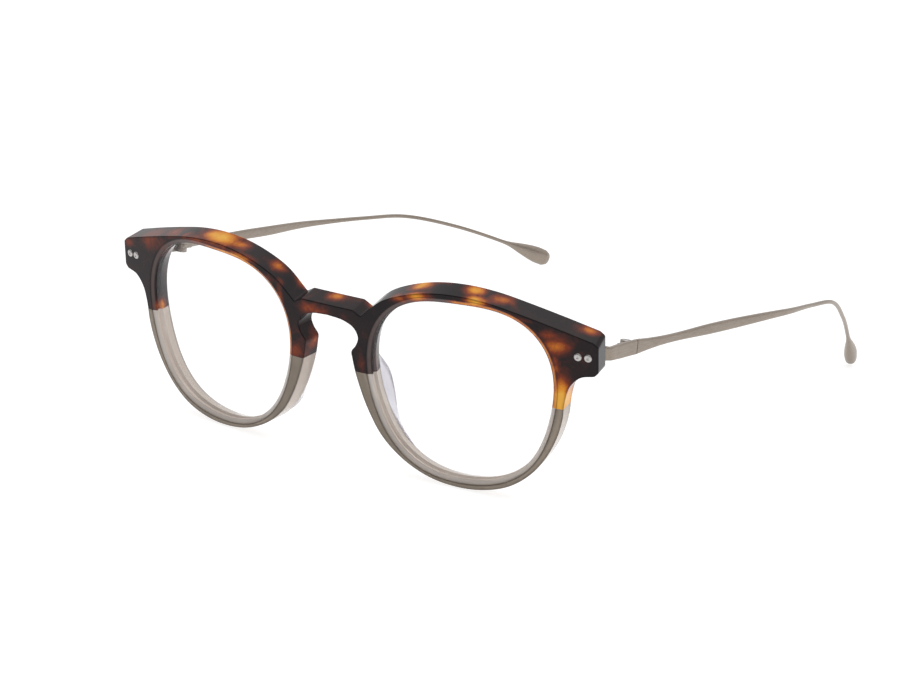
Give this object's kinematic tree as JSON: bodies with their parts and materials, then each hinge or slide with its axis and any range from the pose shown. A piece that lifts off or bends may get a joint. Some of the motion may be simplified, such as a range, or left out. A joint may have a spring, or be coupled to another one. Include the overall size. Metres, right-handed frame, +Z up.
{
  "type": "eyeglasses",
  "caption": "Full rim eyeglasses with a two-tone plastic front, clear lenses and thin flat metal arms that fold on riveted hinges.",
  "frame": {"origin": "centre of the bounding box in plan, at the bottom, on the surface the glasses rest on with the arms open", "axes": "+X towards the wearer's left, +Y backwards along the arms to the ear tips, the lenses face -Y, +Z up"},
  "size_m": [0.1396, 0.1724, 0.0464],
  "materials": {
    "tortoise_acetate": "polished near-black tortoise acetate with amber and red-brown clouds",
    "smoke_acetate": "polished translucent warm grey acetate",
    "clear_lens": "clear demonstration lens",
    "clear_acetate": "polished clear acetate",
    "brushed_metal": "fine lengthwise brushed warm grey metal",
    "bright_steel": "satin steel"
  },
  "bodies": {
    "front": {"front_brow": "tortoise_acetate", "lower_rim_left": "smoke_acetate", "lower_rim_right": "smoke_acetate", "lens_left": "clear_lens", "lens_right": "clear_lens", "nose_pad_left": "clear_acetate", "nose_pad_right": "clear_acetate", "tab_left": "brushed_metal", "tab_right": "brushed_metal", "hinge_front_leaf_left": "bright_steel", "hinge_front_leaf_right": "bright_steel", "hinge_screw_left": "bright_steel", "hinge_screw_right": "bright_steel", "rivet_left_inner": "bright_steel", "rivet_left_outer": "bright_steel", "rivet_right_inner": "bright_steel", "rivet_right_outer": "bright_steel"},
    "left_arm": {"temple_left": "brushed_metal", "hinge_temple_leaf_left": "bright_steel"},
    "right_arm": {"temple_right": "brushed_metal", "hinge_temple_leaf_right": "bright_steel"}
  },
  "joints": [
    {"name": "left_arm_hinge", "type": "hinge", "parent": "front", "child": "left_arm", "pos_m": [0.0626, -0.06117, 0.03497], "axis": [0, 0.0546, 0.9985], "range_deg": [0, 92]},
    {"name": "right_arm_hinge", "type": "hinge", "parent": "front", "child": "right_arm", "pos_m": [-0.0626, -0.06117, 0.03497], "axis": [0, -0.0546, -0.9985], "range_deg": [0, 88]}
  ]
}
